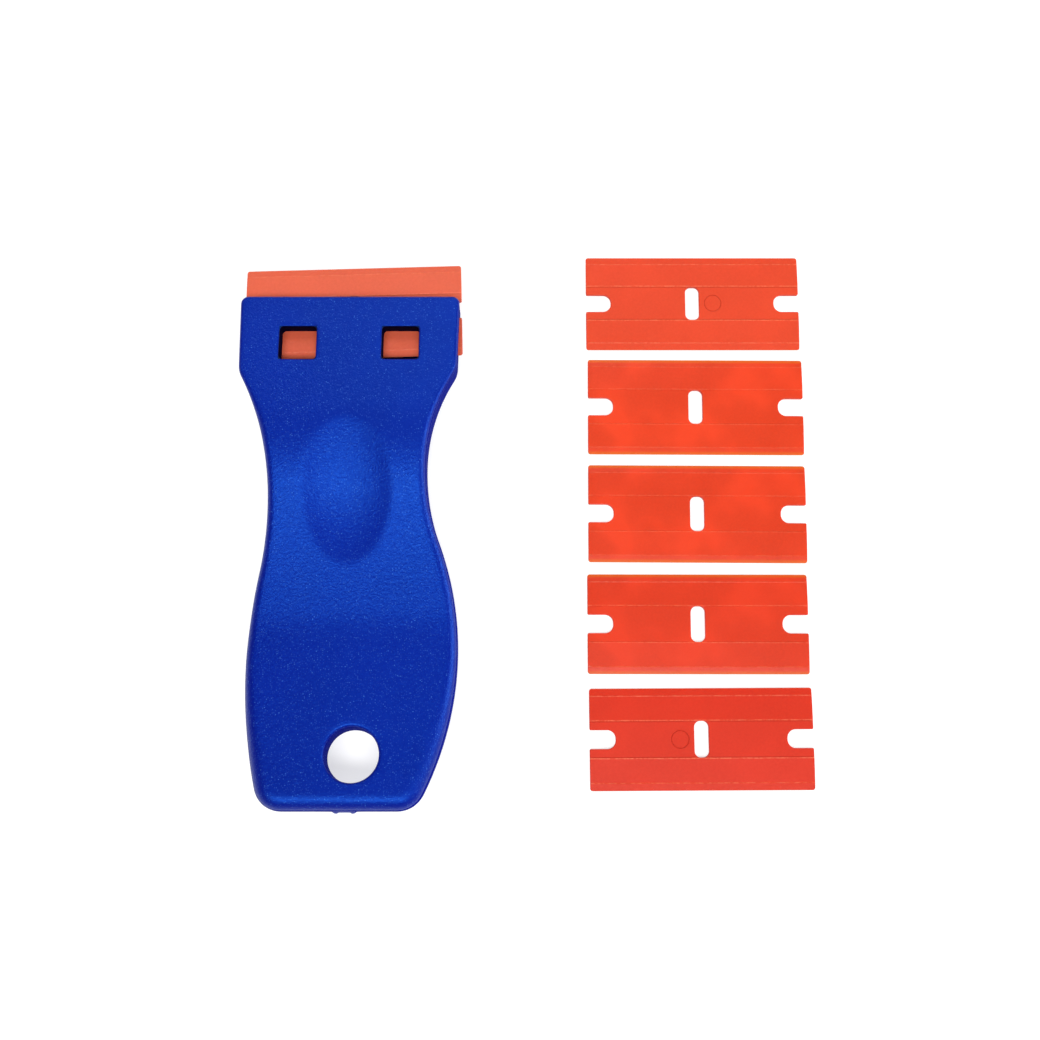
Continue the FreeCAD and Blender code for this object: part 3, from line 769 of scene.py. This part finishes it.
class Nodes:
    """Short ways to add and join shader nodes."""

    def __init__(self, name):
        self.material = bpy.data.materials.new(name)
        self.material.use_nodes = True
        self.tree = self.material.node_tree
        self.shader = self.tree.nodes["Principled BSDF"]
        self.place = self.add("ShaderNodeTexCoord").outputs["Object"]

    def add(self, kind, **values):
        node = self.tree.nodes.new(kind)
        for key, value in values.items():
            setattr(node, key, value)
        return node

    def link(self, source, target):
        self.tree.links.new(source, target)

    def noise(self, scale, detail=2.0, roughness=0.5):
        """A noise of the given number of cells per millimetre."""
        node = self.add("ShaderNodeTexNoise")
        self.link(self.place, node.inputs["Vector"])
        node.inputs["Scale"].default_value = scale / MM
        node.inputs["Detail"].default_value = detail
        node.inputs["Roughness"].default_value = roughness
        return node.outputs["Fac"]

    def ramp(self, source, stops):
        """Colours or greys along a value."""
        node = self.add("ShaderNodeValToRGB")
        self.link(source, node.inputs["Fac"])
        elements = node.color_ramp.elements
        elements[0].position = stops[0][0]
        elements[1].position = stops[-1][0]
        for position, _ in stops[1:-1]:
            elements.new(position)
        for element, (_, colour) in zip(elements, stops):
            element.color = (*colour, 1.0) if len(colour) == 3 else (*colour * 3, 1.0)
        return node.outputs["Color"]

    def stripes(self, source, lines, half, soft):
        """Soft-edged stripes across a length in millimetres: lines lists (middle, strength)."""
        reach = max(middle for middle, _ in lines) + half + 2 * soft
        scaled = self.calculate("DIVIDE", source, reach * MM)
        stops = []
        for middle, strength in lines:
            stops += [(middle - half - soft, 0.0), (middle - half, strength),
                      (middle + half, strength), (middle + half + soft, 0.0)]
        return self.ramp(scaled, [(at / reach, (grey,)) for at, grey in stops])

    def multiply(self, a, b):
        node = self.add("ShaderNodeMath", operation="MULTIPLY")
        self.link(a, node.inputs[0])
        self.link(b, node.inputs[1])
        return node.outputs["Value"]

    def blend(self, factor, a, b):
        """Colour a, turning into the fixed colour b as factor rises."""
        node = self.add("ShaderNodeMix", data_type="RGBA")
        self.link(factor, node.inputs["Factor"])
        self.link(a, node.inputs["A"])
        node.inputs["B"].default_value = (*b, 1.0)
        return node.outputs["Result"]

    def calculate(self, operation, a, b=0.0):
        """A Math node of a value and a fixed number."""
        node = self.add("ShaderNodeMath", operation=operation)
        self.link(a, node.inputs[0])
        node.inputs[1].default_value = b
        return node.outputs["Value"]

    def painted_window_shade(self):
        """One inside the handle's two windows, where little light reaches and the colour is painted
        dark as shade, and zero elsewhere.
        """
        split = self.add("ShaderNodeSeparateXYZ")
        self.link(self.place, split.inputs["Vector"])
        (left, y), (right, _) = WINDOWS
        reach = [length / 2 + 0.08 for length in WINDOW_SIZE]
        across = self.calculate("ABSOLUTE", self.calculate("SUBTRACT", split.outputs["X"],
                                                           (left + right) / 2 * MM))
        across = self.calculate("ABSOLUTE", self.calculate("SUBTRACT", across, (right - left) / 2 * MM))
        along = self.calculate("ABSOLUTE", self.calculate("SUBTRACT", split.outputs["Y"], y * MM))
        return self.multiply(self.calculate("LESS_THAN", across, reach[0] * MM),
                             self.calculate("LESS_THAN", along, reach[1] * MM))

    def bump(self, source, distance, strength=1.0, normal=None):
        node = self.add("ShaderNodeBump")
        node.inputs["Strength"].default_value = strength
        node.inputs["Distance"].default_value = distance * MM
        self.link(source, node.inputs["Height"])
        if normal:
            self.link(normal, node.inputs["Normal"])
        return node.outputs["Normal"]


def handle_material(name, rough, specular):
    """Deep blue moulded plastic with a spark-eroded grain, whose glints are partly painted: scattered
    lighter dots in the base colour.
    """
    n = Nodes(name)
    grain = n.noise(2.3, detail=2.0, roughness=0.75)
    lumps = n.noise(1.3, detail=2.0, roughness=0.6)
    cloud = n.noise(0.06, detail=3.0)
    tint = n.ramp(cloud, ((0.3, (0.0008, 0.0034, 0.172)), (0.7, (0.0011, 0.0047, 0.198))))
    # Painted glints: scattered cells of the grain get a lighter blue in the base colour.
    cells = n.add("ShaderNodeTexVoronoi", feature="F1")
    cells.inputs["Scale"].default_value = 3.6 / MM
    n.link(n.place, cells.inputs["Vector"])
    chance = n.add("ShaderNodeSeparateColor")
    n.link(cells.outputs["Color"], chance.inputs["Color"])
    painted_glint_pick = n.ramp(chance.outputs["Red"], ((0.35, (0.0,)), (0.93, (0.45,)), (1.0, (1.0,))))
    painted_glint_spot = n.ramp(cells.outputs["Distance"], ((0.15, (1.0,)), (0.45, (0.0,))))
    colour = n.blend(n.multiply(painted_glint_pick, painted_glint_spot), tint, (0.036, 0.105, 0.40))
    # Painted shade: inside the windows the blue is darkened nearly to black.
    colour = n.blend(n.painted_window_shade(), colour, (0.0010, 0.0010, 0.012))
    n.link(colour, n.shader.inputs["Base Color"])
    n.link(n.ramp(lumps, ((0.3, (rough + 0.04,)), (0.7, (rough - 0.04,)))),
           n.shader.inputs["Roughness"])
    n.link(n.bump(grain, 0.075, 1.0, n.bump(lumps, 0.05, 0.5)), n.shader.inputs["Normal"])
    n.shader.inputs["Specular IOR Level"].default_value = specular
    n.shader.inputs["Specular Tint"].default_value = (0.03, 0.22, 1.0, 1.0)
    return n.material


def paint_handle(handle):
    """The faces shine softly; the side walls, dragged over the mould's texture, are dull."""
    handle.data.materials.clear()
    handle.data.materials.append(handle_material("blue_moulded_plastic", 0.40, 1.0))
    handle.data.materials.append(handle_material("blue_dragged_plastic", 0.90, 0.05))
    for face in handle.data.polygons:
        face.material_index = int(abs(face.normal.z) < STEEP)


def blade_material(name, colour, lip_glow_colour, lip_width, roughness, flow_and_sheen):
    """Orange moulded plastic, a little translucent where it is thin, with a painted glow at its edges
    and painted highlight and shade along its creases.

    The last argument sets how strongly the colour is blotched paler and darker: the flow of the
    plastic, and on a glossy face a painted sheen of soft reflections."""
    n = Nodes(name)
    flow = n.noise(0.10, detail=2.0, roughness=0.45)
    grain = n.noise(2.2, detail=2.0, roughness=0.6)
    highlight_specks = n.ramp(n.noise(1.1, detail=3.0, roughness=0.7), ((0.40, (0.25,)), (0.60, (1.0,))))
    # Paler and darker blotches: the flow of the plastic, and on glossy faces a painted sheen of soft
    # reflections.
    paler = tuple(min(1.0, c * (1.0 + 0.30 * flow_and_sheen)) for c in colour)
    darker = tuple(c * (1.0 - 0.12 * flow_and_sheen) for c in colour)
    tint = n.ramp(flow, ((0.36, darker), (0.50, colour), (0.64, paler)))
    mottle = n.ramp(grain, ((0.35, (0.0,)), (0.75, (0.30,))))
    tint = n.blend(mottle, tint, tuple(c * 1.25 for c in colour))

    split = n.add("ShaderNodeSeparateXYZ")
    n.link(n.place, split.inputs["Vector"])
    height = n.calculate("ABSOLUTE", split.outputs["Y"])
    marked = n.calculate("GREATER_THAN", split.outputs["Z"])
    bevel_at = BLADE_HEIGHT / 2 - EDGE_BEVEL
    # Painted highlight: lighter specks along the outer edge of the bead and along the bevel crease.
    crease_highlight = n.stripes(height, ((BAND_HALF + 0.12, 0.75 - flow_and_sheen), (bevel_at, 0.5 - 0.6 * flow_and_sheen)),
                        0.06, 0.07)
    # Painted shade: a darker line in the corner at the foot of the bead, on the marked face.
    corner = n.stripes(height, ((BAND_HALF - 0.10, 0.42),), 0.04, 0.08)
    tint = n.blend(n.multiply(crease_highlight, highlight_specks), tint, (0.70, 0.17, 0.085))
    tint = n.blend(n.multiply(corner, marked), tint, tuple(c * 0.6 for c in colour))

    # Painted shade: the ring mark's groove is darkened on the marked face.
    ring = n.add("ShaderNodeVectorMath", operation="DISTANCE")
    flat = n.add("ShaderNodeCombineXYZ")
    n.link(split.outputs["X"], flat.inputs["X"])
    n.link(split.outputs["Y"], flat.inputs["Y"])
    n.link(flat.outputs["Vector"], ring.inputs[0])
    ring.inputs[1].default_value = (RING_MIDDLE[0] * MM, RING_MIDDLE[1] * MM, 0.0)
    groove = n.stripes(ring.outputs["Value"], ((RING_RADIUS, 0.40),), 0.05, 0.08)
    tint = n.blend(n.multiply(groove, marked), tint, tuple(c * 0.6 for c in colour))

    # Painted glow: the colour turns lighter and yellower towards the thin edge, for light passing
    # through it.
    lip_glow = n.add("ShaderNodeMapRange", interpolation_type="SMOOTHSTEP")
    n.link(height, lip_glow.inputs["Value"])
    lip_glow.inputs["From Min"].default_value = (BLADE_HEIGHT / 2 - lip_width) * MM
    lip_glow.inputs["From Max"].default_value = BLADE_HEIGHT / 2 * MM
    n.link(n.blend(lip_glow.outputs["Result"], tint, lip_glow_colour), n.shader.inputs["Base Color"])
    rough = n.ramp(grain, ((0.3, (roughness + 0.06,)), (0.7, (roughness - 0.04,))))
    n.link(rough, n.shader.inputs["Roughness"])
    n.link(n.bump(grain, 0.015, 0.4, n.bump(flow, 0.25, 0.1)), n.shader.inputs["Normal"])
    n.shader.inputs["Specular IOR Level"].default_value = 0.12
    n.shader.inputs["Subsurface Weight"].default_value = 0.2
    n.shader.inputs["Subsurface Radius"].default_value = (1.0, 0.35, 0.12)
    n.shader.inputs["Subsurface Scale"].default_value = 0.5 * MM
    return n.material


# ---------------------------------------------------------------- floor, light and camera

def make_floor():
    """A wide pale table top, with a little light of its own so that shadows stay faint."""
    mesh = bpy.data.meshes.new("floor")
    half = 1.5
    mesh.from_pydata([(-half, -half, 0), (half, -half, 0), (half, half, 0), (-half, half, 0)], [],
                     [(0, 1, 2, 3)])
    floor = bpy.data.objects.new("floor", mesh)
    bpy.context.scene.collection.objects.link(floor)
    n = Nodes("pale_floor")
    n.shader.inputs["Base Color"].default_value = (0.40, 0.40, 0.40, 1.0)
    n.shader.inputs["Roughness"].default_value = 0.9
    n.shader.inputs["Emission Color"].default_value = (1.0, 1.0, 1.0, 1.0)
    n.shader.inputs["Emission Strength"].default_value = 0.65
    mesh.materials.append(n.material)
    floor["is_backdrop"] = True


def add_light(name, lean, distance, size, power):
    """A soft light (width, length) aimed at the object; lean is its direction in degrees from
    straight above, towards +X and towards +Y."""
    low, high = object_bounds()
    middle = (Vector(low) + Vector(high)) / 2
    across, along = (math.tan(math.radians(angle)) for angle in lean)
    data = bpy.data.lights.new(name, "AREA")
    data.shape = "RECTANGLE"
    data.size, data.size_y = size
    data.energy = power
    light = bpy.data.objects.new(name, data)
    bpy.context.scene.collection.objects.link(light)
    light.location = middle + Vector((across, along, 1.0)).normalized() * distance
    light.rotation_euler = (middle - light.location).to_track_quat("-Z", "Y").to_euler()


def make_world():
    """A pale room: bright walls and a darker ceiling."""
    world = bpy.data.worlds.new("studio")
    world.use_nodes = True
    tree = world.node_tree
    place = tree.nodes.new("ShaderNodeTexCoord")
    split = tree.nodes.new("ShaderNodeSeparateXYZ")
    ramp = tree.nodes.new("ShaderNodeValToRGB")
    tree.links.new(place.outputs["Generated"], split.inputs["Vector"])
    tree.links.new(split.outputs["Z"], ramp.inputs["Fac"])
    tree.links.new(ramp.outputs["Color"], tree.nodes["Background"].inputs["Color"])
    walls, ceiling = ramp.color_ramp.elements
    walls.position, walls.color = 0.10, (0.45, 0.45, 0.45, 1.0)
    ceiling.position, ceiling.color = 0.60, (0.03, 0.03, 0.03, 1.0)
    bpy.context.scene.world = world


def make_lights():
    """A wide strip light in front, a small one behind and a soft one to the right."""
    bpy.context.scene.view_settings.view_transform = "Standard"
    make_world()
    add_light("key", (-3.0, -22.0), 0.85, (0.80, 0.22), 8.3)
    add_light("top", (-6.0, 37.0), 0.40, (0.22, 0.16), 0.50)
    add_light("side", (65.0, 10.0), 0.85, (0.40, 0.40), 5.0)


# The camera's view: straight at the table from nearly overhead.
VIEW_TARGET = (0.0302, 0.015, 0.0)
VIEW_DISTANCE = 0.2132
VIEW_LEAN = 8.5
LENS = 41.54
SENSOR = 36.0


def make_camera():
    """The camera, whose view is a little from the tail's side of straight down."""
    data = bpy.data.cameras.new("camera")
    data.lens = LENS
    data.sensor_width = SENSOR
    data.clip_start = 0.01
    camera = bpy.data.objects.new("camera", data)
    bpy.context.scene.collection.objects.link(camera)
    lean = math.radians(VIEW_LEAN)
    camera.location = Vector(VIEW_TARGET) + VIEW_DISTANCE * Vector((0, -math.sin(lean),
                                                                    math.cos(lean)))
    camera.rotation_euler = Euler((lean, 0.0, 0.0))
    bpy.context.scene.camera = camera


# ---------------------------------------------------------------- the set

handle = make_handle()
paint_handle(handle)
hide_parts("handle")
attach(handle, "handle")

# Colour, lip colour (a painted glow of the thin edge), lip width, roughness, and the strength of the
# flow blotching with its painted sheen, for each blade's plastic.
BLADE_LOOKS = {
    # The fitted blade is the spares' plastic with a paler, pinker colour: painted sheen.
    "fitted_blade": ((0.57, 0.098, 0.050), (0.57, 0.12, 0.06), 0.2, 0.45, 0.1),
    "spare_blade_1": ((0.56, 0.050, 0.018), (0.57, 0.085, 0.025), 0.2, 0.45, 0.15),
    "spare_blade_2": ((0.56, 0.042, 0.013), (0.56, 0.110, 0.012), 0.8, 0.32, 0.5),
    "spare_blade_3": ((0.55, 0.040, 0.013), (0.55, 0.105, 0.012), 0.8, 0.32, 0.5),
    "spare_blade_4": ((0.53, 0.036, 0.013), (0.53, 0.095, 0.012), 0.8, 0.32, 0.4),
    "spare_blade_5": ((0.50, 0.025, 0.009), (0.50, 0.050, 0.012), 0.2, 0.45, 0.15),
}
for node, blade in make_blades().items():
    blade.data.materials.append(blade_material(f"{node}_plastic", *BLADE_LOOKS[node]))
    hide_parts(node)
    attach(blade, node)

make_floor()
make_lights()
make_camera()
